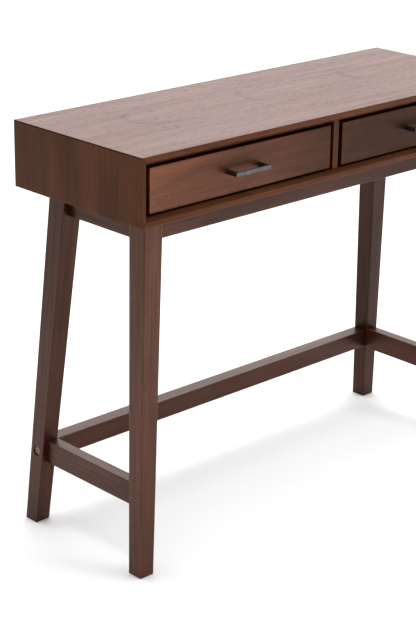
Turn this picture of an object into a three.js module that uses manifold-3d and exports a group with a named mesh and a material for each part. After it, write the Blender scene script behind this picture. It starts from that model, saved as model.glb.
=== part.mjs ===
// A console table in stained walnut: a mitred case with two drawers, on a base of four splayed and
// tapered legs. Millimetres, +Z up, the drawers towards -Y. The origin is on the floor, below the
// middle of the whole object's box.
import * as THREE from "three";
import { mergeVertices } from "three/addons/utils/BufferGeometryUtils.js";
import Module from "manifold-3d";

const wasm = await Module();
wasm.setup();

// ---------------------------------------------------------------- driving dimensions
const WIDTH = 990;
const DEPTH = 350;
const HEIGHT = 800;
const GAP = 0.25; // clearance that every piece keeps to its neighbour

const CASE_HEIGHT = 125.5;
const TOP_THICKNESS = 18;
const SIDE_THICKNESS = 18;
const BOTTOM_THICKNESS = 15;
const FRONT_EDGE = 9.5; // what the inner bevel leaves of each panel at its front edge
const BEVEL_DEPTH = 11;
const DIVIDER_THICKNESS = 14;
const BACK_THICKNESS = 6;
const BACK_INSET = 5;

const LEG_TOP = { outerX: 448, innerX: 406, outerY: 131.5, innerY: 88 };
const LEG_FOOT = { outerX: 492.5, innerX: 460.5, outerY: 170, innerY: 136.5 };

const APRON_HEIGHT = 50;
const APRON_THICKNESS = 22;
const APRON_SETBACK = { x: 11.5, y: 13.5 }; // from the outer faces of the legs, at their tops
const SIDE_STRETCHER = { outerX: 471.5, thickness: 23.5, low: 126.4, height: 46.2 };
const REAR_STRETCHER = { middleY: 143.75, thickness: 31, low: 129.5, height: 39 };
const TENON = { length: 10, thickness: 12, shoulder: 6 };
const BLOCK_THICKNESS = 22; // of the corner blocks, across the diagonal
const BLOCK_HEIGHT = 40;

const SCREW = { shank: 2.2, head: 4.5, headHeight: 2.6, grip: 10 };
const BOLT = { shank: 3, head: 5, headHeight: 6, socket: 2.5, socketDepth: 3, length: 62 };
const BOLT_HEIGHT = 148;
const COUNTERBORE = { radius: 9.5, depth: 14 };
const CAP = { thickness: 4, recess: 2.5 }; // the wooden disc that hides a bolt's head
const BARREL_NUT = { radius: 5, length: 16, fromEnd: 33 };

const FRONT = { width: 452, height: 82, thickness: 15, low: 694, recess: 10 };
const RUNNER_SPACE = 12.75; // between a drawer's side and the case, taken up by the runners
const DRAWER_BOARD = 12;
const DRAWER_LENGTH = 305;
const DRAWER_SIDE = { low: 699, height: 65 };
const DRAWER_BOTTOM = { thickness: 5, above: 8, groove: 6 };
const HANDLE = { length: 86, reach: 25, height: 7.5, bar: 4, leg: 8 };
const HANDLE_SCREW = { shank: 2, head: 4, headHeight: 2.4, depth: 9 };

const RUNNER = { length: 300, sheet: 1.2, setback: 26 };
const CASE_RUNNER = { height: 35, flange: 10 };
const DRAWER_RUNNER = { height: 24, flange: 8 };

// ---------------------------------------------------------------- places worked out from them
const CASE_LOW = HEIGHT - CASE_HEIGHT;
const CASE_FRONT = -DEPTH / 2;
const CASE_BACK = DEPTH / 2;
const BAY_LOW = CASE_LOW + BOTTOM_THICKNESS;
const BAY_HIGH = HEIGHT - TOP_THICKNESS;
const BAY_OUTER = WIDTH / 2 - SIDE_THICKNESS;
const BAY_INNER = DIVIDER_THICKNESS / 2;
const BAY_HALF = (BAY_OUTER - BAY_INNER) / 2;
const BAY_MIDDLE = (BAY_OUTER + BAY_INNER) / 2;
const BACK_FACE = CASE_BACK - BACK_INSET - BACK_THICKNESS;
const APRON_LOW = CASE_LOW - APRON_HEIGHT;
const LEG_HIGH = CASE_LOW - GAP;
const DRAWER_FACE = CASE_FRONT + FRONT.recess;
const FRONT_BACK = DRAWER_FACE + FRONT.thickness;
const DRAWER_END = DRAWER_FACE + DRAWER_LENGTH;
const BOX_HALF = BAY_HALF - RUNNER_SPACE;
const RUNNER_MIDDLE = DRAWER_SIDE.low + DRAWER_SIDE.height / 2;
// The handles reach past the case, so the case stands this far behind the middle of the whole box.
const CASE_OFFSET = (HANDLE.reach + GAP - FRONT.recess) / 2;

// ---------------------------------------------------------------- materials
const woodTop = () => new THREE.MeshStandardMaterial({ color: 0x5a3a2c, roughness: 0.42, metalness: 0 });
const woodCase = () => new THREE.MeshStandardMaterial({ color: 0x4f3226, roughness: 0.48, metalness: 0 });
const woodFront = () => new THREE.MeshStandardMaterial({ color: 0x6b4636, roughness: 0.45, metalness: 0 });
const woodBase = () => new THREE.MeshStandardMaterial({ color: 0x4a3228, roughness: 0.5, metalness: 0 });
const drawerPly = () => new THREE.MeshStandardMaterial({ color: 0xb98f66, roughness: 0.6, metalness: 0 });
const blackMetal = () => new THREE.MeshStandardMaterial({ color: 0x3a3838, roughness: 0.35, metalness: 0.9 });
const zincSteel = () => new THREE.MeshStandardMaterial({ color: 0xb5b8ba, roughness: 0.35, metalness: 1 });

// ---------------------------------------------------------------- shape helpers
function solid(geometry) {
  const bare = geometry.index ? geometry.toNonIndexed() : geometry.clone();
  bare.deleteAttribute("normal");
  bare.deleteAttribute("uv");
  const merged = mergeVertices(bare);
  return new wasm.Manifold(
    new wasm.Mesh({
      numProp: 3,
      vertProperties: merged.getAttribute("position").array,
      triVerts: new Uint32Array(merged.index.array),
    }),
  );
}

function box([x0, x1], [y0, y1], [z0, z1]) {
  const geometry = new THREE.BoxGeometry(x1 - x0, y1 - y0, z1 - z0);
  return solid(geometry.translate((x0 + x1) / 2, (y0 + y1) / 2, (z0 + z1) / 2));
}

// An outline in two of the axes, pulled along the third from one coordinate to another.
function extrude(outline, from, to, basis) {
  const shape = new THREE.Shape(outline.map(([u, v]) => new THREE.Vector2(u, v)));
  const geometry = new THREE.ExtrudeGeometry(shape, { depth: to - from, bevelEnabled: false });
  geometry.translate(0, 0, from);
  return solid(geometry.applyMatrix4(basis));
}

const X_AXIS = new THREE.Vector3(1, 0, 0);
const Y_AXIS = new THREE.Vector3(0, 1, 0);
const Z_AXIS = new THREE.Vector3(0, 0, 1);
const alongX = new THREE.Matrix4().makeBasis(Y_AXIS, Z_AXIS, X_AXIS);
const alongY = new THREE.Matrix4().makeBasis(X_AXIS, Z_AXIS, Y_AXIS.clone().negate());
const alongZ = new THREE.Matrix4();

const prismX = (outline, x0, x1) => extrude(outline, x0, x1, alongX); // outline in y, z
const prismY = (outline, y0, y1) => extrude(outline, -y1, -y0, alongY); // outline in x, z
const prismZ = (outline, z0, z1) => extrude(outline, z0, z1, alongZ); // outline in x, y

// A rod between two coordinates of one axis, through a point given by the other two.
function rod(axis, radius, from, to, [u, v], sides = 32) {
  const geometry = new THREE.CylinderGeometry(radius, radius, Math.abs(to - from), sides);
  const middle = (from + to) / 2;
  if (axis === "x") geometry.rotateZ(Math.PI / 2).translate(middle, u, v);
  if (axis === "y") geometry.translate(u, middle, v);
  if (axis === "z") geometry.rotateX(Math.PI / 2).translate(u, v, middle);
  return solid(geometry);
}

// A named mesh, its geometry centred on itself and the mesh put where that centre belongs.
function piece(name, shape, material) {
  const { vertProperties, triVerts } = shape.getMesh();
  const geometry = new THREE.BufferGeometry();
  geometry.setAttribute("position", new THREE.BufferAttribute(vertProperties, 3));
  geometry.setIndex(new THREE.BufferAttribute(triVerts, 1));
  geometry.computeBoundingBox();
  const centre = geometry.boundingBox.getCenter(new THREE.Vector3());
  geometry.translate(-centre.x, -centre.y, -centre.z);
  geometry.computeVertexNormals();
  const mesh = new THREE.Mesh(geometry, material);
  mesh.name = name;
  mesh.position.copy(centre);
  return mesh;
}

const SIDES = [
  ["left", -1],
  ["right", 1],
];
const ENDS = [
  ["front", -1],
  ["rear", 1],
];

// ---------------------------------------------------------------- case
// The outline in y and z of a bevelled panel: outer face at z = 0, thick towards -Z.
const panelOutline = (thickness, extra) => [
  [CASE_FRONT, 0],
  [CASE_FRONT, -FRONT_EDGE - extra],
  [CASE_FRONT + BEVEL_DEPTH, -thickness - extra],
  [CASE_BACK, -thickness - extra],
  [CASE_BACK, 0],
];

// A top or bottom panel with its ends mitred, outer face at z = 0. With a clearance it is that much
// larger all round the joint, and serves to cut the side panels.
function mitredPanel(thickness, clearance) {
  const reach = WIDTH / 2 - GAP + clearance;
  const deep = 2 * thickness;
  const slab = prismX(panelOutline(thickness, clearance), -reach, reach);
  const mitres = [
    [-reach, 0],
    [-reach + deep, -deep],
    [reach - deep, -deep],
    [reach, 0],
  ];
  return slab.intersect(prismY(mitres, 2 * CASE_FRONT, 2 * CASE_BACK));
}

const topPanel = (clearance) => mitredPanel(TOP_THICKNESS, clearance).translate([0, 0, HEIGHT]);

const bottomPanel = (clearance) =>
  mitredPanel(BOTTOM_THICKNESS, clearance).rotate([0, 180, 0]).translate([0, 0, CASE_LOW]);

function sidePanel(side) {
  const outer = (side * WIDTH) / 2;
  const outline = panelOutline(SIDE_THICKNESS, 0).map(([y, z]) => [outer + side * z, y]);
  if (side < 0) outline.reverse();
  return prismZ(outline, CASE_LOW, HEIGHT).subtract(topPanel(GAP)).subtract(bottomPanel(GAP));
}

function divider() {
  const across = [-BAY_INNER, BAY_INNER];
  return box(across, [CASE_FRONT + BEVEL_DEPTH, BACK_FACE - GAP], [BAY_LOW + GAP, BAY_HIGH - GAP]);
}

function backPanel() {
  const half = BAY_OUTER - GAP;
  return box([-half, half], [BACK_FACE, BACK_FACE + BACK_THICKNESS], [BAY_LOW + GAP, BAY_HIGH - GAP]);
}

// A metal channel along Y: its web stands against x = wall and its flanges reach towards -open.
function channel(wall, open, { height, flange }) {
  const [inside, lip] = [wall - open * RUNNER.sheet, wall - open * flange];
  const [low, high] = [RUNNER_MIDDLE - height / 2, RUNNER_MIDDLE + height / 2];
  const outline = [
    [wall, low],
    [wall, high],
    [lip, high],
    [lip, high - RUNNER.sheet],
    [inside, high - RUNNER.sheet],
    [inside, low + RUNNER.sheet],
    [lip, low + RUNNER.sheet],
    [lip, low],
  ];
  const start = CASE_FRONT + RUNNER.setback;
  return prismY(outline, start, start + RUNNER.length);
}

function makeCase() {
  const group = new THREE.Group();
  const raised = bottomPanel(0).subtract(blockScrewHoles());
  group.add(piece("top_panel", topPanel(0), woodTop()));
  group.add(piece("bottom_panel", raised, woodCase()));
  group.add(piece("center_divider", divider(), woodCase()));
  group.add(piece("back_panel", backPanel(), woodCase()));
  for (const [name, side] of SIDES) {
    group.add(piece(`${name}_side_panel`, sidePanel(side), woodCase()));
    for (const [where, wall] of SIDES) {
      const x = side * BAY_MIDDLE + wall * (BAY_HALF - GAP);
      const runner = channel(x, wall, CASE_RUNNER);
      group.add(piece(`${name}_bay_${where}_case_runner`, runner, zincSteel()));
    }
  }
  return group;
}

// ---------------------------------------------------------------- base
const legAt = (edge, z) => THREE.MathUtils.lerp(LEG_FOOT[edge], LEG_TOP[edge], z / CASE_LOW);

// A leg's four corners slide in a straight line from its foot to its top.
function leg(side, end) {
  const geometry = new THREE.BoxGeometry(1, 1, 1);
  const corner = geometry.getAttribute("position");
  for (let i = 0; i < corner.count; i++) {
    const z = corner.getZ(i) > 0 ? LEG_HIGH : 0;
    const edgeX = corner.getX(i) * side > 0 ? "outerX" : "innerX";
    const edgeY = corner.getY(i) * end > 0 ? "outerY" : "innerY";
    corner.setXYZ(i, side * legAt(edgeX, z), end * legAt(edgeY, z), z);
  }
  return solid(geometry);
}

// A rail from the left legs to the right ones, its ends cut to the slope of the legs.
function longRail([y0, y1], [z0, z1]) {
  const half = (z) => legAt("innerX", z) - GAP;
  const outline = [
    [-half(z0), z0],
    [half(z0), z0],
    [half(z1), z1],
    [-half(z1), z1],
  ];
  return prismY(outline, y0, y1);
}

// A rail from the front legs to the rear ones.
function sideRail([x0, x1], [z0, z1]) {
  const half = (z) => legAt("innerY", z) - GAP;
  const outline = [
    [-half(z0), z0],
    [half(z0), z0],
    [half(z1), z1],
    [-half(z1), z1],
  ];
  return prismX(outline, x0, x1);
}

// A tongue that runs right through a rail and past its shoulders into both legs. Grown by a
// clearance, it cuts the mortises.
function longTenon([y0, y1], [z0, z1], clearance) {
  const half = legAt("innerX", (z0 + z1) / 2) + TENON.length + clearance;
  const grip = TENON.thickness / 2 + clearance;
  const middle = (y0 + y1) / 2;
  const inset = TENON.shoulder - clearance;
  return box([-half, half], [middle - grip, middle + grip], [z0 + inset, z1 - inset]);
}

function sideTenon([x0, x1], [z0, z1], clearance) {
  const half = legAt("innerY", (z0 + z1) / 2) + TENON.length + clearance;
  const grip = TENON.thickness / 2 + clearance;
  const middle = (x0 + x1) / 2;
  const inset = TENON.shoulder - clearance;
  return box([middle - grip, middle + grip], [-half, half], [z0 + inset, z1 - inset]);
}

const ordered = (a, b) => [Math.min(a, b), Math.max(a, b)];
const APRON_Z = [APRON_LOW, CASE_LOW - GAP];
const APRON_OUTER_X = LEG_TOP.outerX - APRON_SETBACK.x;
const APRON_OUTER_Y = LEG_TOP.outerY - APRON_SETBACK.y;
const SIDE_STRETCHER_Z = [SIDE_STRETCHER.low, SIDE_STRETCHER.low + SIDE_STRETCHER.height];
const REAR_STRETCHER_Z = [REAR_STRETCHER.low, REAR_STRETCHER.low + REAR_STRETCHER.height];
const REAR_STRETCHER_Y = [
  REAR_STRETCHER.middleY - REAR_STRETCHER.thickness / 2,
  REAR_STRETCHER.middleY + REAR_STRETCHER.thickness / 2,
];

const apronX = (side) => ordered(side * APRON_OUTER_X, side * (APRON_OUTER_X - APRON_THICKNESS));
const apronY = (end) => ordered(end * APRON_OUTER_Y, end * (APRON_OUTER_Y - APRON_THICKNESS));
const stretcherX = (side) =>
  ordered(side * SIDE_STRETCHER.outerX, side * (SIDE_STRETCHER.outerX - SIDE_STRETCHER.thickness));

// The bolt that draws a rear leg onto the rear stretcher, pointing inwards from the leg's outside.
const headSeat = (side) => side * (legAt("outerX", BOLT_HEIGHT) - COUNTERBORE.depth);
const boltLine = [REAR_STRETCHER.middleY, BOLT_HEIGHT];

function stretcherBolt(side) {
  const seat = headSeat(side) + side * GAP;
  const top = seat + side * BOLT.headHeight;
  const shank = rod("x", BOLT.shank, seat, seat - side * BOLT.length, boltLine);
  const socket = rod("x", BOLT.socket, top, top - side * BOLT.socketDepth, boltLine, 6);
  return shank.add(rod("x", BOLT.head, seat, top, boltLine)).subtract(socket);
}

function boltCap(side) {
  const face = legAt("outerX", BOLT_HEIGHT) - CAP.recess;
  return rod("x", COUNTERBORE.radius - GAP, side * face, side * (face - CAP.thickness), boltLine);
}

const boltHole = (side) =>
  rod("x", BOLT.shank + GAP, side * WIDTH, headSeat(side) - side * (BOLT.length + 1), boltLine);

const counterbore = (side) =>
  rod("x", COUNTERBORE.radius, headSeat(side), side * WIDTH, boltLine);

const nutAt = (side) => side * (legAt("innerX", BOLT_HEIGHT) - BARREL_NUT.fromEnd);

function barrelNut(side) {
  const reach = BARREL_NUT.length / 2;
  const at = [nutAt(side), REAR_STRETCHER.middleY];
  const body = rod("z", BARREL_NUT.radius, BOLT_HEIGHT - reach, BOLT_HEIGHT + reach, at);
  return body.subtract(boltHole(side));
}

function nutHole(side) {
  const top = BOLT_HEIGHT + BARREL_NUT.length / 2 + GAP;
  const at = [nutAt(side), REAR_STRETCHER.middleY];
  return rod("z", BARREL_NUT.radius + GAP, REAR_STRETCHER.low - 1, top, at);
}

// A block across each corner of the aprons, just inside the leg, and the screw that goes up
// through it into the case.
const blockOuterX = APRON_OUTER_X - APRON_THICKNESS - GAP;
const blockOuterY = APRON_OUTER_Y - APRON_THICKNESS - GAP;
const blockLine = LEG_TOP.innerX + LEG_TOP.innerY - 2;
const blockSpan = BLOCK_THICKNESS * Math.SQRT2;
const BLOCK_Z = [CASE_LOW - GAP - BLOCK_HEIGHT, CASE_LOW - GAP];
const SCREW_X = (blockLine - blockSpan / 2 + blockOuterX - blockOuterY) / 2;
const SCREW_Y = blockLine - blockSpan / 2 - SCREW_X;

function cornerBlock(side, end) {
  const outline = [
    [blockOuterX, blockLine - blockSpan - blockOuterX],
    [blockOuterX, blockLine - blockOuterX],
    [blockLine - blockOuterY, blockOuterY],
    [blockLine - blockSpan - blockOuterY, blockOuterY],
  ].map(([x, y]) => [side * x, end * y]);
  if (side * end < 0) outline.reverse();
  return prismZ(outline, ...BLOCK_Z).subtract(blockScrewHole(side, end));
}

const blockScrewHole = (side, end) =>
  rod("z", SCREW.shank + GAP, BLOCK_Z[0] - 1, CASE_LOW + SCREW.grip + 1, [side * SCREW_X, end * SCREW_Y]);

function blockScrewHoles() {
  const holes = SIDES.flatMap(([, side]) => ENDS.map(([, end]) => blockScrewHole(side, end)));
  return holes.reduce((all, hole) => all.add(hole));
}

function blockScrew(side, end) {
  const at = [side * SCREW_X, end * SCREW_Y];
  const seat = BLOCK_Z[0] - GAP;
  const shank = rod("z", SCREW.shank, seat, CASE_LOW + SCREW.grip, at);
  return shank.add(rod("z", SCREW.head, seat - SCREW.headHeight, seat, at));
}

function makeBase() {
  const group = new THREE.Group();
  const rearStretcher = longRail(REAR_STRETCHER_Y, REAR_STRETCHER_Z);
  const drilled = SIDES.reduce(
    (rail, [, side]) => rail.subtract(boltHole(side)).subtract(nutHole(side)),
    rearStretcher,
  );
  group.add(piece("rear_stretcher", drilled, woodBase()));

  for (const [endName, end] of ENDS) {
    const rail = longRail(apronY(end), APRON_Z).add(longTenon(apronY(end), APRON_Z, 0));
    group.add(piece(`${endName}_apron`, rail, woodBase()));
  }

  for (const [sideName, side] of SIDES) {
    const apron = sideRail(apronX(side), APRON_Z).add(sideTenon(apronX(side), APRON_Z, 0));
    const stretcher = sideRail(stretcherX(side), SIDE_STRETCHER_Z);
    const tongue = sideTenon(stretcherX(side), SIDE_STRETCHER_Z, 0);
    group.add(piece(`${sideName}_apron`, apron, woodBase()));
    group.add(piece(`${sideName}_stretcher`, stretcher.add(tongue), woodBase()));
    group.add(piece(`${sideName}_stretcher_bolt`, stretcherBolt(side), zincSteel()));
    group.add(piece(`${sideName}_barrel_nut`, barrelNut(side), zincSteel()));
    group.add(piece(`${sideName}_bolt_cap`, boltCap(side), woodBase()));

    for (const [endName, end] of ENDS) {
      const where = `${endName}_${sideName}`;
      let post = leg(side, end)
        .subtract(longTenon(apronY(end), APRON_Z, GAP))
        .subtract(sideTenon(apronX(side), APRON_Z, GAP))
        .subtract(sideTenon(stretcherX(side), SIDE_STRETCHER_Z, GAP));
      if (end > 0) post = post.subtract(boltHole(side)).subtract(counterbore(side));
      group.add(piece(`${where}_leg`, post, woodBase()));
      group.add(piece(`${where}_corner_block`, cornerBlock(side, end), woodBase()));
      group.add(piece(`${where}_block_screw`, blockScrew(side, end), zincSteel()));
    }
  }
  return group;
}

// ---------------------------------------------------------------- drawers
const SIDE_TOP = DRAWER_SIDE.low + DRAWER_SIDE.height;
const FLOOR_LOW = DRAWER_SIDE.low + DRAWER_BOTTOM.above;
const FLOOR_HIGH = FLOOR_LOW + DRAWER_BOTTOM.thickness;
const GROOVE_Z = [FLOOR_LOW - GAP, FLOOR_HIGH + GAP];
const INSIDE_HALF = BOX_HALF - DRAWER_BOARD;
const FLOOR_HALF = INSIDE_HALF + DRAWER_BOTTOM.groove;
const HANDLE_MIDDLE = FRONT.low + FRONT.height / 2;
const HANDLE_SCREW_X = (HANDLE.length - HANDLE.leg) / 2;

const handleScrewHole = (where) =>
  rod(
    "y",
    HANDLE_SCREW.shank + GAP,
    DRAWER_FACE - HANDLE_SCREW.depth - 1,
    FRONT_BACK + 1,
    [where * HANDLE_SCREW_X, HANDLE_MIDDLE],
  );

function drawerFront() {
  const half = FRONT.width / 2;
  const board = box([-half, half], [DRAWER_FACE, FRONT_BACK], [FRONT.low, FRONT.low + FRONT.height]);
  const across = [-FLOOR_HALF - GAP, FLOOR_HALF + GAP];
  const groove = box(across, [FRONT_BACK - DRAWER_BOTTOM.groove - GAP, FRONT_BACK + 1], GROOVE_Z);
  return SIDES.reduce((rest, [, where]) => rest.subtract(handleScrewHole(where)), board.subtract(groove));
}

// The back is shallower than the sides: the bottom slides in below it.
function drawerBack() {
  const half = INSIDE_HALF - GAP;
  return box([-half, half], [DRAWER_END - DRAWER_BOARD, DRAWER_END], [FLOOR_HIGH + GAP, SIDE_TOP]);
}

function drawerSide(where) {
  const across = ordered(where * INSIDE_HALF, where * BOX_HALF);
  const groove = ordered(where * (INSIDE_HALF - 1), where * (FLOOR_HALF + GAP));
  const along = [FRONT_BACK + GAP, DRAWER_END];
  const cut = box(groove, [FRONT_BACK - 1, DRAWER_END + 1], GROOVE_Z);
  return box(across, along, [DRAWER_SIDE.low, SIDE_TOP]).subtract(cut);
}

function drawerBottom() {
  const along = [FRONT_BACK - DRAWER_BOTTOM.groove, DRAWER_END];
  return box([-FLOOR_HALF, FLOOR_HALF], along, [FLOOR_LOW, FLOOR_HIGH]);
}

// A squared U seen from above: a bar held off the drawer by a leg at each end.
function handle() {
  const half = HANDLE.length / 2;
  const back = DRAWER_FACE - GAP;
  const nose = back - HANDLE.reach;
  const outline = [
    [-half, back],
    [-half, nose],
    [half, nose],
    [half, back],
    [half - HANDLE.leg, back],
    [half - HANDLE.leg, nose + HANDLE.bar],
    [-half + HANDLE.leg, nose + HANDLE.bar],
    [-half + HANDLE.leg, back],
  ];
  const body = prismZ(outline, HANDLE_MIDDLE - HANDLE.height / 2, HANDLE_MIDDLE + HANDLE.height / 2);
  return SIDES.reduce((rest, [, where]) => rest.subtract(handleScrewHole(where)), body);
}

function handleScrew(where) {
  const at = [where * HANDLE_SCREW_X, HANDLE_MIDDLE];
  const seat = FRONT_BACK + GAP;
  const shank = rod("y", HANDLE_SCREW.shank, DRAWER_FACE - HANDLE_SCREW.depth, seat, at);
  return shank.add(rod("y", HANDLE_SCREW.head, seat, seat + HANDLE_SCREW.headHeight, at));
}

function makeDrawer(name, side) {
  const group = new THREE.Group();
  group.position.x = side * BAY_MIDDLE;
  group.add(piece(`${name}_drawer_front`, drawerFront(), woodFront()));
  group.add(piece(`${name}_drawer_back`, drawerBack(), drawerPly()));
  group.add(piece(`${name}_drawer_bottom`, drawerBottom(), drawerPly()));
  group.add(piece(`${name}_drawer_handle`, handle(), blackMetal()));
  for (const [whereName, where] of SIDES) {
    const runner = channel(where * (BOX_HALF + GAP), -where, DRAWER_RUNNER);
    group.add(piece(`${name}_drawer_${whereName}_side`, drawerSide(where), drawerPly()));
    group.add(piece(`${name}_drawer_${whereName}_runner`, runner, zincSteel()));
    group.add(piece(`${name}_handle_${whereName}_screw`, handleScrew(where), zincSteel()));
  }
  return group;
}

// ---------------------------------------------------------------- whole table
const table = new THREE.Group();
table.name = "console_table";
table.position.y = CASE_OFFSET;
table.add(makeBase());
table.add(makeCase());
for (const [name, side] of SIDES) table.add(makeDrawer(name, side));

export default table;
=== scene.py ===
"""The looks of a console table in stained walnut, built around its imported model. Metres, +Z up."""
import math
import random

import bmesh
import bpy
from mathutils import Matrix, Vector


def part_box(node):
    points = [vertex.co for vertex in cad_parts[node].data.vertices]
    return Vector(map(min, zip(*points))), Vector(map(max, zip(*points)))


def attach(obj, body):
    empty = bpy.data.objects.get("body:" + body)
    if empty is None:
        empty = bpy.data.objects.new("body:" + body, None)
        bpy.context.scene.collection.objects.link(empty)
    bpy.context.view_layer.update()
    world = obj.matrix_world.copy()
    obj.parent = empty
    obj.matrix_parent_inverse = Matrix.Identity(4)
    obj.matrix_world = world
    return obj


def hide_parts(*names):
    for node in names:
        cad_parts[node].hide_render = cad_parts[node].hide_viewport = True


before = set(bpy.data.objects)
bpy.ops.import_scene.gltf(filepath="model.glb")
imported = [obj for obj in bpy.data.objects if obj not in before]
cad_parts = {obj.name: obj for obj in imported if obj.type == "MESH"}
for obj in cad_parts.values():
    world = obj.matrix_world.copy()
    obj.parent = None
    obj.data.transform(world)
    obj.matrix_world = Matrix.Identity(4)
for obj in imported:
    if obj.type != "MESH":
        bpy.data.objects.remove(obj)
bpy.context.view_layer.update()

MM = 0.001
X = Vector((1, 0, 0))
Y = Vector((0, 1, 0))
Z = Vector((0, 0, 1))
X_INDEX = 0
Y_INDEX = 1
SIDES = ("left", "right")
ENDS = ("front", "rear")

# How near two points or heights count as one, and how near a corner is to a side of its node's box
# if it lies on it.
WELD = 0.002 * MM
ON_BOX = 0.01 * MM

# Joined across as one flat face below the first angle, rounded above the second, and shaded as an
# edge above the third.
FLAT_ANGLE = math.radians(0.2)
SHARP_ANGLE = math.radians(20)
SMOOTH_ANGLE = math.radians(40)

# Cosines: an edge runs along a direction above the first, and a face looks upwards above the second.
ALIGNED = 0.9
UPWARD = 0.6

# The radii of rounded edges.
ARRIS_SEGMENTS = 3
CASE_ARRIS = 0.6 * MM
LEG_ARRIS = 1.6 * MM
RAIL_ARRIS = 1.2 * MM
DRAWER_ARRIS = 0.9 * MM
HANDLE_ARRIS = 0.5 * MM
FITTING_ARRIS = 0.4 * MM

# Only edges longer than these are rounded, so joints and small steps stay crisp.
CAP_EDGE = 1 * MM
METAL_EDGE = 3 * MM
CASE_EDGE = 4 * MM
BLOCK_EDGE = 8 * MM
RAIL_EDGE = 100 * MM
LEG_EDGE = 300 * MM

# The dark line where a side panel meets the mitre of the top: its width, and its value as an arris.
SEAM = 2.4 * MM
SEAM_DARKENING = -2.6

# How much each end of a rail gains, which closes most of the model's clearance to the leg.
JOINT_GAP = 0.24 * MM

# How pale a piece is against its finish, if not 1. A pair fades along the grain.
# These tones are partly the stain's own unevenness and partly painted light and shade: the legs
# differ as the lamps fall on them, and the pairs paint a light gradient from left to right.
TONES_AND_PAINTED_LIGHT = {
    "center_divider": 0.9,
    "back_panel": 0.8,
    "left_side_panel": 0.8,
    "right_side_panel": 0.8,
    "front_apron": (0.9, 0.5),
    "rear_apron": 0.8,
    "rear_stretcher": 0.95,
    "front_left_leg": 1.15,
    "front_right_leg": 0.9,
    "rear_left_leg": 0.85,
    "rear_right_leg": 0.6,
    "left_drawer_front": (1.5, 0.46),
    "right_drawer_front": (0.52, 0.32),
} | {f"{end}_{side}_corner_block": 0.9 for end in ENDS for side in SIDES}

# Where a board lies in its log: how far its middle is from the pith, across its face and through it.
FLAT_SAWN = (0.01, 0.055)
STRAIGHT = (0.34, 0.12)
ARCHED = (-0.025, 0.08)

# Where a board lies along its log: the top's own place, or anywhere within the log's length. Every
# board is also off its place across and through the log by up to the last value.
ARCH_START = 0.157
LOG_LENGTH = 9.0
BOARD_SHIFT = 5 * MM

# How dark a growth ring is from its start to its end: soft bands, or one thin line.
SOFT_RINGS = [(0.0, 0.55), (0.12, 0.12), (0.7, 0.3), (0.93, 1.0), (1.0, 0.55)]
FINE_RINGS = [(0.0, 0.35), (0.014, 0.08), (0.6, 0.0), (0.93, 0.12), (0.975, 1.0), (1.0, 0.35)]
RIPPLE_SHARE = 0.15

# The parts of the woods' noises that show, from where each mark starts to where it is full.
FIBRE_RANGE = (0.3, 0.75)
STREAK_RANGE = (0.3, 0.7)
GLOSS_RANGE = (0.2, 0.8)
PORE_RANGE = (0.58, 0.72)
STAIN_RANGE = (0.3, 0.72)

# How many of walnut's streaks and pores lie side by side in one fibre gap.
STREAK_FINENESS = 0.16
PORE_FINENESS = 1.7

# What a pore does to walnut: how much of its colour shows, how much rougher it is, how little it shines.
PORE_COLOUR = (0.012, 0.005, 0.003, 1.0)
PORE_DEPTH = 0.45
PORE_ROUGHNESS = 0.12
PORE_SHINE = 0.6

# What wear does to walnut's arrises.
ARRIS_PALER = 0.25
ARRIS_SHINE = 0.3
ARRIS_ROUGHNESS = -0.06

# Walnut's shine on its pale and its dark figure, how far it follows the uneven stain, what streaks
# add to the roughness, and how high the fibres stand against the depth of the pores.
FIGURE_SHINE = (1.15, 0.8)
PATCH_SHINE = 0.4
STREAK_ROUGHNESS = (-0.05, 0.06)
FIBRE_HEIGHT = 0.5

# How strongly the sealed hardwood's rings, fibres and patches show, and how rough it is.
HARDWOOD_RINGS = 0.4
HARDWOOD_FIBRES = 0.5
HARDWOOD_PATCHES = 0.35
HARDWOOD_PATCH_RANGE = (0.35, 0.7)
HARDWOOD_ROUGHNESS = (0.5, 0.66)

# Metal: the parts of its cloudy noise that change its colour and its roughness, and its brushing.
CLOUD_RANGE = (0.3, 0.75)
DULLING_RANGE = (0.25, 0.75)
BRUSHED_ROUGHNESS = 0.08

CAMERA_PLACE = (-2.404128, -2.327475, 1.589899)
CAMERA_YAW = math.radians(43.75545)
CAMERA_PITCH = math.radians(-20.24929)
CAMERA_ROLL = math.radians(0.8413)
CAMERA_LENS = 102.406
CAMERA_SENSOR = 36.0

FLOOR_RADIUS = 14.0
FLOOR_SEGMENTS = 96
FLOOR_DROP = 0.2 * MM
FLOOR_COLOURS = ((0.9, 0.9, 0.9, 1.0), (0.86, 0.86, 0.86, 1.0))

# Lamps: where each hangs, the point it faces, its width and length, and its power in watts.
LAMPS = {
    "key": ((0.9, -2.0, 1.1), (0.9, -1.99, 0.0), (0.6, 0.6), 34.0),
    "overhead": ((0.3, 0.6, 3.2), (0.3, 0.61, 0.0), (3.0, 3.0), 42.0),
}

# The studio around the table: where it is brightest, and how its light grows towards there.
BRIGHT_SIDE = (0.52, 0.57, 0.63)
STUDIO_TURN = (-0.35, 0.9)
STUDIO_LIGHT = (0.15, 1.95)


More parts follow.
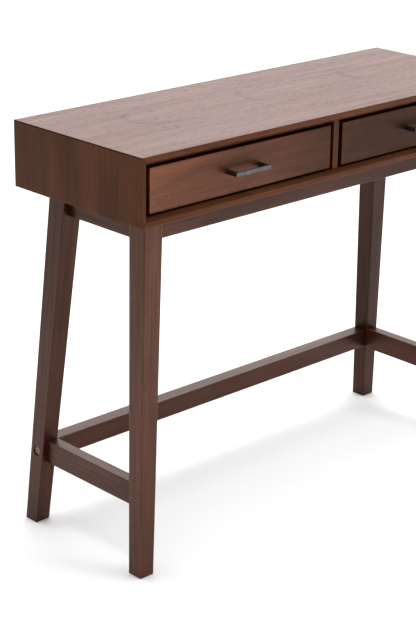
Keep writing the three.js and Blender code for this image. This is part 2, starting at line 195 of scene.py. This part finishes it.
# ---------------------------------------------------------------- shader nodes
class Nodes:
    """Adds nodes to one tree. Every input takes a constant or another node's output."""

    def __init__(self, tree):
        self.tree = tree

    def feed(self, socket, value):
        if isinstance(value, bpy.types.NodeSocket):
            self.tree.links.new(value, socket)
        else:
            socket.default_value = value

    def add(self, kind, inputs, **settings):
        made = self.tree.nodes.new(kind)
        for key, value in settings.items():
            setattr(made, key, value)
        for key, value in inputs.items():
            self.feed(made.inputs[key], value)
        return made

    def math(self, operation, a, b=0.0):
        return self.add("ShaderNodeMath", {0: a, 1: b}, operation=operation).outputs[0]

    def total(self, result, *others):
        for other in others:
            result = self.math("ADD", result, other)
        return result

    def product(self, result, *others):
        for other in others:
            result = self.math("MULTIPLY", result, other)
        return result

    def vector_math(self, operation, a, b=(0.0, 0.0, 0.0)):
        made = self.add("ShaderNodeVectorMath", {0: a, 1: b}, operation=operation)
        return made.outputs["Value" if operation in ("LENGTH", "DOT_PRODUCT") else "Vector"]

    def noise(self, vector, along, across, detail=2.0, roughness=0.5, distortion=0.0):
        """Noise with this many waves in a metre along the grain, and across it."""
        placed = self.vector_math("MULTIPLY", vector, (along, across, across))
        inputs = {"Vector": placed, "Scale": 1.0, "Detail": detail, "Roughness": roughness}
        inputs["Distortion"] = distortion
        return self.add("ShaderNodeTexNoise", inputs).outputs[0]

    def spread(self, value, source, target=(0.0, 1.0)):
        """Takes one range of values smoothly to another."""
        inputs = {0: value, 1: source[0], 2: source[1], 3: target[0], 4: target[1]}
        return self.add("ShaderNodeMapRange", inputs, interpolation_type="SMOOTHSTEP").outputs[0]

    def mix(self, factor, a, b, blend="MIX"):
        inputs = {0: factor, 6: a, 7: b}
        return self.add("ShaderNodeMix", inputs, data_type="RGBA", blend_type=blend).outputs[2]

    def ramp(self, factor, stops):
        made = self.add("ShaderNodeValToRGB", {0: factor})
        elements = made.color_ramp.elements
        while len(elements) < len(stops):
            elements.new(0.5)
        for element, (position, value) in zip(elements, stops):
            element.position = position
            element.color = (value, value, value, 1.0)
        return made.outputs[0]

    def attribute(self, name, output):
        return self.add("ShaderNodeAttribute", {}, attribute_name=name).outputs[output]

    def bump(self, height, distance, strength):
        inputs = {"Height": height, "Distance": distance, "Strength": strength}
        return self.add("ShaderNodeBump", inputs).outputs[0]


def new_material(name):
    material = bpy.data.materials.new(name)
    material.use_nodes = True
    nodes = Nodes(material.node_tree)
    shader = material.node_tree.nodes["Principled BSDF"]
    return material, nodes, shader


def set_shader(nodes, shader, **inputs):
    for key, value in inputs.items():
        socket_name = key.replace("_", " ").title().replace("Ior", "IOR")
        nodes.feed(shader.inputs[socket_name], value)


def rgb(red, green, blue):
    return (red, green, blue, 1.0)


# ---------------------------------------------------------------- wood and metal
def growth_rings(nodes, grain, ring_gap, taper, sway, arch=None):
    """0 in a ring's pale early wood, rising to 1 at the dark line that ends it. With an arch width,
    the rings bend into the blunt arches of a flat-sawn veneer, each ended by a thin line."""
    parts = nodes.add("ShaderNodeSeparateXYZ", {0: grain})
    drift = nodes.noise(grain, along=4.0, across=9.0)
    ripple = nodes.noise(grain, along=22.0, across=60.0, detail=1.0)
    moved = nodes.product(nodes.math("SUBTRACT", drift, 0.5), sway)
    across = nodes.total(parts.outputs[1], moved)
    if arch:
        widened = nodes.math("DIVIDE", nodes.math("ABSOLUTE", across), arch)
        across = nodes.product(across, widened)
    section = nodes.add("ShaderNodeCombineXYZ", {0: 0.0, 1: across, 2: parts.outputs[2]})
    radius = nodes.vector_math("LENGTH", section.outputs[0])
    cone = nodes.math("SUBTRACT", radius, nodes.product(parts.outputs[0], taper))
    rough = nodes.total(cone, nodes.product(ripple, RIPPLE_SHARE * sway))
    phase = nodes.math("FRACT", nodes.math("DIVIDE", rough, ring_gap))
    return nodes.ramp(phase, FINE_RINGS if arch else SOFT_RINGS)


def walnut_marks(nodes, rings, line, contrast, fibre_gap):
    """Everything that varies over a walnut piece, each as a node's output."""
    grain = nodes.attribute("grain", "Vector")
    fine = 1.0 / fibre_gap
    fibre = nodes.noise(grain, along=14.0, across=fine, detail=4.0, roughness=0.65)
    streak = nodes.noise(grain, along=3.0, across=STREAK_FINENESS * fine, detail=3.0, roughness=0.6)
    pore = nodes.noise(grain, along=70.0, across=PORE_FINENESS * fine, detail=1.0)
    stain = nodes.noise(grain, along=3.5, across=11.0, detail=3.0, roughness=0.55, distortion=0.4)
    figure = nodes.total(
        nodes.product(growth_rings(nodes, grain, *rings), line),
        nodes.spread(fibre, FIBRE_RANGE, (0.0, contrast)),
        nodes.spread(streak, STREAK_RANGE, (0.0, contrast)),
    )
    # Each piece's tone is partly its stain's unevenness and partly painted light and shade.
    return {
        "tone": nodes.attribute("tone", "Fac"),
        "arris": nodes.attribute("arris", "Fac"),
        "fibre": fibre,
        "streak": streak,
        "pores": nodes.spread(pore, PORE_RANGE),
        "stain": stain,
        "figure": figure,
    }


def patches(nodes, marks, depth):
    """The uneven stain, as a factor that stays within a depth of 1."""
    return nodes.spread(marks["stain"], STAIN_RANGE, (1.0 - depth, 1.0 + depth))


def on_arris(nodes, marks, gain):
    """A factor that is 1 on the faces, larger on the arrises and smaller on the dark seam strip."""
    return nodes.total(nodes.product(marks["arris"], gain), 1.0)


def walnut_colour(nodes, marks, pale, deep, cloud):
    colour = nodes.mix(marks["figure"], pale, deep)
    colour = nodes.mix(nodes.product(marks["pores"], PORE_DEPTH), colour, PORE_COLOUR)
    worn = on_arris(nodes, marks, ARRIS_PALER)
    # The tone scales the colour: partly the stain's unevenness, partly painted light and shade.
    level = nodes.product(patches(nodes, marks, cloud), marks["tone"], worn)
    grey = nodes.add("ShaderNodeCombineColor", {0: level, 1: level, 2: level}).outputs[0]
    return nodes.mix(1.0, colour, grey, "MULTIPLY")


def walnut_shine(nodes, marks, strength, cloud):
    on_pale, on_deep = FIGURE_SHINE
    # The tone scales the shine as well, which makes it partly a painted sheen.
    return nodes.product(
        nodes.spread(marks["figure"], (0.0, 1.0), (on_pale * strength, on_deep * strength)),
        marks["tone"],
        on_arris(nodes, marks, ARRIS_SHINE),
        nodes.spread(marks["pores"], (0.0, 1.0), (1.0, PORE_SHINE)),
        patches(nodes, marks, PATCH_SHINE * cloud),
    )


def walnut_roughness(nodes, marks, gloss):
    smoother, rougher = STREAK_ROUGHNESS
    return nodes.total(
        nodes.spread(marks["streak"], GLOSS_RANGE, (gloss + smoother, gloss + rougher)),
        nodes.product(marks["arris"], ARRIS_ROUGHNESS),
        nodes.product(marks["pores"], PORE_ROUGHNESS),
    )


def walnut(name, pale, deep, rings, line, contrast, cloud, fibre_gap, gloss, lacquer):
    """Walnut under dark stain and satin lacquer, in each piece's own grain directions. The rings are
    a gap, a taper, a sway and perhaps an arch width; the lacquer is a strength, an IOR and a tint."""
    material, nodes, shader = new_material(name)
    marks = walnut_marks(nodes, rings, line, contrast, fibre_gap)
    height = nodes.math("SUBTRACT", nodes.product(marks["fibre"], FIBRE_HEIGHT), marks["pores"])
    strength, ior, tint = lacquer
    set_shader(
        nodes,
        shader,
        base_color=walnut_colour(nodes, marks, pale, deep, cloud),
        roughness=walnut_roughness(nodes, marks, gloss),
        specular_ior_level=walnut_shine(nodes, marks, strength, cloud),
        ior=ior,
        specular_tint=tint,
        normal=nodes.bump(height, distance=0.12 * MM, strength=0.5),
    )
    return material


def drawer_wood(name):
    """Pale unstained hardwood, only sealed."""
    pale = rgb(0.46, 0.29, 0.155)
    deep = rgb(0.30, 0.165, 0.08)
    patchy = rgb(0.33, 0.2, 0.11)
    material, nodes, shader = new_material(name)
    grain = nodes.attribute("grain", "Vector")
    rings = growth_rings(nodes, grain, ring_gap=9 * MM, taper=0.02, sway=0.03)
    fibre = nodes.noise(grain, along=16.0, across=900.0, detail=3.0)
    stain = nodes.noise(grain, along=4.0, across=14.0)
    fibres = nodes.spread(fibre, STREAK_RANGE, (0.0, HARDWOOD_FIBRES))
    figure = nodes.total(nodes.product(rings, HARDWOOD_RINGS), fibres)
    colour = nodes.mix(figure, pale, deep)
    patch = nodes.spread(stain, HARDWOOD_PATCH_RANGE, (0.0, HARDWOOD_PATCHES))
    colour = nodes.mix(patch, colour, patchy)
    set_shader(
        nodes,
        shader,
        base_color=colour,
        roughness=nodes.spread(fibre, GLOSS_RANGE, HARDWOOD_ROUGHNESS),
        specular_ior_level=0.4,
        normal=nodes.bump(fibre, distance=0.1 * MM, strength=0.4),
    )
    return material


def metal(name, bright, dull, roughness, brushed):
    """Plated metal: faint brushing along the grain direction, and cloudy spots where it has dulled."""
    material, nodes, shader = new_material(name)
    grain = nodes.attribute("grain", "Vector")
    lines = nodes.noise(grain, along=30.0, across=brushed, detail=3.0)
    clouds = nodes.noise(grain, along=90.0, across=90.0, detail=3.0, roughness=0.6)
    dulled = nodes.spread(clouds, DULLING_RANGE, roughness)
    set_shader(
        nodes,
        shader,
        base_color=nodes.mix(nodes.spread(clouds, CLOUD_RANGE), bright, dull),
        metallic=1.0,
        roughness=nodes.total(dulled, nodes.product(lines, BRUSHED_ROUGHNESS)),
        normal=nodes.bump(lines, distance=0.03 * MM, strength=0.35),
    )
    return material


# ---------------------------------------------------------------- shapes
def cad_shape(node):
    """A CAD node's solid, its flat faces whole again."""
    shape = bmesh.new()
    shape.from_mesh(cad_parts[node].data)
    bmesh.ops.remove_doubles(shape, verts=shape.verts, dist=WELD)
    bmesh.ops.dissolve_limit(shape, angle_limit=FLAT_ANGLE, verts=shape.verts, edges=shape.edges)
    return shape


def soften(shape, radius, wanted):
    """Rounds the outward edges that wanted(edge) picks, and marks their faces as arris."""
    mark = shape.faces.layers.float.get("arris") or shape.faces.layers.float.new("arris")
    shape.normal_update()
    edges = [e for e in shape.edges if e.is_manifold and e.calc_face_angle() > SHARP_ANGLE]
    edges = [e for e in edges if e.is_convex and wanted(e)]
    made = bmesh.ops.bevel(
        shape,
        geom=edges,
        offset=radius,
        offset_type="OFFSET",
        segments=ARRIS_SEGMENTS,
        profile=0.5,
        affect="EDGES",
        clamp_overlap=True,
    )
    for face in made["faces"]:
        face[mark] = 1.0
    return shape


def longer_than(length):
    return lambda edge: edge.calc_length() > length


def runs_along(axis, length):
    def wanted(edge):
        span = edge.verts[1].co - edge.verts[0].co
        return span.length > length and abs(span.normalized().dot(axis)) > ALIGNED

    return wanted


def box_edges(node):
    """Picks the edges that lie on the edges of a node's box."""
    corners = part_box(node)

    def planes(vert):
        return {
            (axis, end)
            for axis in range(3)
            for end in range(2)
            if abs(vert.co[axis] - corners[end][axis]) < ON_BOX
        }

    return lambda edge: len(planes(edge.verts[0]) & planes(edge.verts[1])) >= 2


def to_object(name, shape):
    mesh = bpy.data.meshes.new(name)
    shape.to_mesh(mesh)
    shape.free()
    made = bpy.data.objects.new(name, mesh)
    bpy.context.scene.collection.objects.link(made)
    return made


def place_in_log(piece, sawn, start):
    """Where the middle of a piece lies in its log: along, across and through it."""
    draw = random.Random(piece.name)
    along = draw.uniform(0.0, LOG_LENGTH) if start is None else start
    across = sawn[0] + draw.uniform(-BOARD_SHIFT, BOARD_SHIFT)
    through = sawn[1] + draw.uniform(-BOARD_SHIFT, BOARD_SHIFT)
    return Vector((along, across, through))


def lay_grain(piece, along, across, sawn, tone, start):
    """Gives every point its place in the wood: along the grain, across the board and through it.
    The tone is one number, or a pair that it fades between along the grain; it is partly the stain's own
    unevenness and partly painted light and shade."""
    u = along.normalized()
    w = u.cross(across).normalized()
    v = w.cross(u)
    corners = [Vector(c) for c in piece.bound_box]
    middle = sum(corners, Vector()) / len(corners)
    offset = place_in_log(piece, sawn, start)
    begin, end = tone if isinstance(tone, tuple) else (tone, tone)
    reach = max(abs((c - middle).dot(u)) for c in corners)
    values = []
    tones_and_painted_light = []
    for vert in piece.data.vertices:
        local = vert.co - middle
        values.extend(Vector((local.dot(u), local.dot(v), local.dot(w))) + offset)
        tones_and_painted_light.append(begin + (end - begin) * (0.5 + 0.5 * local.dot(u) / reach))
    grain = piece.data.attributes.new("grain", "FLOAT_VECTOR", "POINT")
    grain.data.foreach_set("vector", values)
    level = piece.data.attributes.new("tone", "FLOAT", "POINT")
    level.data.foreach_set("value", tones_and_painted_light)


def smooth(piece):
    """Smooth shading whose normals follow the large flat faces."""
    piece.data.shade_smooth()
    piece.data.set_sharp_from_angle(angle=SMOOTH_ANGLE)
    even = piece.modifiers.new("even_normals", "WEIGHTED_NORMAL")
    even.keep_sharp = True


def make_piece(node, body, finish, radius, wanted, along, across, sawn=STRAIGHT, start=None, shape=None):
    """A piece from its CAD node, or from the shape given for it: rounded, with its grain or brushing
    laid, in its finish, and riding on its body in the node's place."""
    piece = to_object(f"{node}_finished", soften(shape or cad_shape(node), radius, wanted))
    lay_grain(piece, along, across, sawn, TONES_AND_PAINTED_LIGHT.get(node, 1.0), start)
    smooth(piece)
    material, slot_name = FINISHES[finish]
    piece.data.materials.append(material)
    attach(piece, body)
    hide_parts(node)
    return piece


def make_metal(node, body, along, finish="zinc", radius=FITTING_ARRIS):
    """A metal piece, brushed along one axis."""
    across = X if along == Z else Z
    make_piece(node, body, finish, radius, longer_than(METAL_EDGE), along, across)


# ---------------------------------------------------------------- finishes
# Each is a material and the slot it belongs to.
FINISHES = {
    "top": (
        walnut(
            "walnut_top",
            pale=rgb(0.118, 0.031, 0.0125),
            deep=rgb(0.03, 0.008, 0.003),
            rings=(68 * MM, 0.236, 0.03, 60 * MM),
            line=0.6,
            contrast=0.07,
            cloud=0.08,
            fibre_gap=2.2 * MM,
            gloss=0.42,
            lacquer=(0.46, 1.5, rgb(1.0, 1.0, 1.0)),
        ),
        "walnut_case",
    ),
    "case": (
        walnut(
            "walnut_case",
            pale=rgb(0.084, 0.026, 0.0065),
            deep=rgb(0.036, 0.0105, 0.003),
            rings=(7 * MM, 0.02, 0.02),
            line=0.2,
            contrast=0.28,
            cloud=0.3,
            fibre_gap=0.8 * MM,
            gloss=0.33,
            lacquer=(0.24, 1.5, rgb(1.0, 0.25, 0.05)),
        ),
        "walnut_case",
    ),
    "front": (
        walnut(
            "walnut_front",
            pale=rgb(0.06, 0.016, 0.004),
            deep=rgb(0.024, 0.006, 0.002),
            rings=(16 * MM, 0.05, 0.03),
            line=0.3,
            contrast=0.32,
            cloud=0.36,
            fibre_gap=0.9 * MM,
            gloss=0.32,
            lacquer=(0.48, 1.55, rgb(1.0, 0.36, 0.18)),
        ),
        "walnut_front",
    ),
    "base": (
        walnut(
            "walnut_base",
            pale=rgb(0.042, 0.012, 0.006),
            deep=rgb(0.018, 0.005, 0.003),
            rings=(6 * MM, 0.015, 0.015),
            line=0.3,
            contrast=0.38,
            cloud=0.3,
            fibre_gap=0.9 * MM,
            gloss=0.33,
            lacquer=(0.46, 1.5, rgb(1.0, 0.48, 0.32)),
        ),
        "walnut_base",
    ),
    # The bolt caps are painted far paler than the legs: painted light, for the lit inside of the bolt holes.
    "cap": (
        walnut(
            "walnut_cap",
            pale=rgb(0.25, 0.135, 0.088),
            deep=rgb(0.15, 0.07, 0.04),
            rings=(4 * MM, 0.05, 0.015),
            line=0.3,
            contrast=0.3,
            cloud=0.15,
            fibre_gap=0.6 * MM,
            gloss=0.45,
            lacquer=(0.4, 1.5, rgb(1.0, 0.8, 0.7)),
        ),
        "walnut_base",
    ),
    "drawer": (drawer_wood("drawer_hardwood"), "drawer_wood"),
    "black": (
        metal(
            "gunmetal",
            bright=rgb(0.108, 0.1, 0.106),
            dull=rgb(0.062, 0.058, 0.063),
            roughness=(0.3, 0.4),
            brushed=900.0,
        ),
        "black_metal",
    ),
    "zinc": (
        metal(
            "zinc_plate",
            bright=rgb(0.62, 0.63, 0.64),
            dull=rgb(0.45, 0.46, 0.47),
            roughness=(0.25, 0.4),
            brushed=500.0,
        ),
        "zinc_steel",
    ),
}


# ---------------------------------------------------------------- case
def stain_edges(piece, material):
    """Gives every face that doesn't look upwards another material."""
    piece.data.materials.append(material)
    for face in piece.data.polygons:
        if face.normal.z < UPWARD:
            face.material_index = 1


def side_shape(node):
    """A side panel with a narrow strip set apart along its upper edge."""
    shape = cad_shape(node)
    everything = shape.verts[:] + shape.edges[:] + shape.faces[:]
    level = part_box(node)[1].z - SEAM
    bmesh.ops.bisect_plane(shape, geom=everything, plane_co=level * Z, plane_no=Z)
    return shape


def darken_seam(piece):
    """Marks the strip where a side panel meets the mitre of the top, to be drawn darker."""
    high = max(v.co.z for v in piece.data.vertices)
    mark = piece.data.attributes["arris"].data
    for face, value in zip(piece.data.polygons, mark):
        if face.center.z > high - SEAM:
            value.value = SEAM_DARKENING


def make_case():
    edges = longer_than(CASE_EDGE)
    top = make_piece("top_panel", "table", "top", CASE_ARRIS, edges, X, Y, ARCHED, ARCH_START)
    stain_edges(top, FINISHES["case"][0])
    make_piece("bottom_panel", "table", "case", CASE_ARRIS, edges, X, Y)
    make_piece("center_divider", "table", "case", CASE_ARRIS, edges, Z, Y)
    make_piece("back_panel", "table", "case", CASE_ARRIS, edges, X, Z, FLAT_SAWN)
    side_edges = longer_than(SEAM / 2)
    for side in SIDES:
        node = f"{side}_side_panel"
        cut = side_shape(node)
        panel = make_piece(node, "table", "case", CASE_ARRIS, side_edges, Z, Y, shape=cut)
        darken_seam(panel)


# ---------------------------------------------------------------- base
def leg_axis(node):
    """The line from the middle of a leg's foot to the middle of its top."""
    low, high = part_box(node)
    verts = [v.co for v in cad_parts[node].data.vertices]
    foot = [v for v in verts if v.z < low.z + WELD]
    top = [v for v in verts if v.z > high.z - WELD]

    def middle(points):
        return Vector((min(p[i] for p in points) + max(p[i] for p in points)) / 2 for i in range(3))

    return middle(top) - middle(foot)


def make_leg(node):
    """A leg, rounded along its length and around its foot."""

    def wanted(edge):
        arris = edge.calc_length() > LEG_EDGE
        foot = all(v.co.z < WELD for v in edge.verts)
        return arris or foot

    make_piece(node, "table", "base", LEG_ARRIS, wanted, leg_axis(node), X)


def drawn_tight(node, axis):
    """A rail whose shoulders are pulled up against the legs, along one axis."""
    shape = cad_shape(node)
    low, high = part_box(node)
    middle = (low[axis] + high[axis]) / 2
    for vert in shape.verts:
        vert.co[axis] += math.copysign(JOINT_GAP, vert.co[axis] - middle)
    return shape


def make_corner(end, side):
    """A leg, and the block behind it that carries the case."""
    make_leg(f"{end}_{side}_leg")
    block = f"{end}_{side}_corner_block"
    make_piece(block, "table", "base", RAIL_ARRIS, longer_than(BLOCK_EDGE), X, Z)


def make_base():
    lengthways = runs_along(X, RAIL_EDGE)
    crossways = runs_along(Y, RAIL_EDGE)
    for node in ("front_apron", "rear_apron", "rear_stretcher"):
        rail = drawn_tight(node, X_INDEX)
        make_piece(node, "table", "base", RAIL_ARRIS, lengthways, X, Z, shape=rail)
    for side in SIDES:
        # Each bolt cap takes the pale finish that paints light into its bolt hole.
        cap = f"{side}_bolt_cap"
        make_piece(cap, "table", "cap", RAIL_ARRIS, longer_than(CAP_EDGE), Z, Y, FLAT_SAWN)
        for node in (f"{side}_apron", f"{side}_stretcher"):
            rail = drawn_tight(node, Y_INDEX)
            make_piece(node, "table", "base", RAIL_ARRIS, crossways, Y, Z, shape=rail)
        for end in ENDS:
            make_corner(end, side)


# ---------------------------------------------------------------- drawers
def make_drawer(name):
    body = f"{name}_drawer"
    front = f"{body}_front"
    make_piece(front, body, "front", DRAWER_ARRIS, box_edges(front), X, Z, FLAT_SAWN)
    for part, along, across in (("back", X, Z), ("bottom", X, Y), ("left_side", Y, Z), ("right_side", Y, Z)):
        node = f"{body}_{part}"
        make_piece(node, body, "drawer", DRAWER_ARRIS, box_edges(node), along, across)
    make_metal(f"{body}_handle", body, X, "black", HANDLE_ARRIS)


# ---------------------------------------------------------------- metal fittings
def make_fittings():
    for side in SIDES:
        for wall in SIDES:
            make_metal(f"{side}_bay_{wall}_case_runner", "table", Y)
            make_metal(f"{side}_drawer_{wall}_runner", f"{side}_drawer", Y)
            make_metal(f"{side}_handle_{wall}_screw", f"{side}_drawer", Y)
        make_metal(f"{side}_stretcher_bolt", "table", X)
        make_metal(f"{side}_barrel_nut", "table", Z)
        for end in ENDS:
            make_metal(f"{end}_{side}_block_screw", "table", Z)


# ---------------------------------------------------------------- camera, floor and light
def make_camera():
    level = math.cos(CAMERA_PITCH)
    ahead = Vector((math.sin(CAMERA_YAW) * level, math.cos(CAMERA_YAW) * level, math.sin(CAMERA_PITCH)))
    right = Vector((math.cos(CAMERA_YAW), -math.sin(CAMERA_YAW), 0))
    up = right.cross(ahead)
    turned_right = math.cos(CAMERA_ROLL) * right + math.sin(CAMERA_ROLL) * up
    turned_up = math.cos(CAMERA_ROLL) * up - math.sin(CAMERA_ROLL) * right
    data = bpy.data.cameras.new("camera")
    data.sensor_width = CAMERA_SENSOR
    data.lens = CAMERA_LENS
    camera = bpy.data.objects.new("camera", data)
    bpy.context.scene.collection.objects.link(camera)
    turn = Matrix((turned_right, turned_up, -ahead)).transposed().to_4x4()
    camera.matrix_world = Matrix.Translation(CAMERA_PLACE) @ turn
    bpy.context.scene.camera = camera


def make_floor():
    shape = bmesh.new()
    bmesh.ops.create_circle(shape, cap_ends=True, segments=FLOOR_SEGMENTS, radius=FLOOR_RADIUS)
    floor = to_object("floor", shape)
    floor.location.z = -FLOOR_DROP
    material, nodes, shader = new_material("pale_floor")
    place = nodes.add("ShaderNodeTexCoord", {}).outputs["Object"]
    mottle = nodes.noise(place, along=3.0, across=3.0, detail=3.0)
    colour = nodes.mix(mottle, *FLOOR_COLOURS)
    set_shader(nodes, shader, base_color=colour, roughness=0.8, specular_ior_level=0.2)
    floor.data.materials.append(material)


def make_lamp(name, place, target, size, power):
    data = bpy.data.lights.new(name, "AREA")
    data.shape = "RECTANGLE"
    data.size, data.size_y = size
    data.energy = power
    lamp = bpy.data.objects.new(name, data)
    bpy.context.scene.collection.objects.link(lamp)
    lamp.location = place
    lamp.rotation_mode = "QUATERNION"
    lamp.rotation_quaternion = (Vector(target) - Vector(place)).to_track_quat("-Z", "Y")


def make_world():
    """A studio that is bright above and behind the table, and dimmer in front of it."""
    world = bpy.data.worlds.new("studio")
    bpy.context.scene.world = world
    world.use_nodes = True
    nodes = Nodes(world.node_tree)
    sky = world.node_tree.nodes["Background"]
    direction = nodes.add("ShaderNodeTexCoord", {}).outputs["Generated"]
    bright_side = tuple(Vector(BRIGHT_SIDE).normalized())
    facing = nodes.vector_math("DOT_PRODUCT", direction, bright_side)
    nodes.feed(sky.inputs["Strength"], nodes.spread(facing, STUDIO_TURN, STUDIO_LIGHT))
    nodes.feed(sky.inputs["Color"], rgb(1.0, 1.0, 1.0))


def make_light():
    make_world()
    for name, setting in LAMPS.items():
        make_lamp(name, *setting)
    bpy.context.scene.view_settings.view_transform = "Standard"


make_camera()
make_floor()
make_light()
make_case()
make_base()
make_drawer("left")
make_drawer("right")
make_fittings()
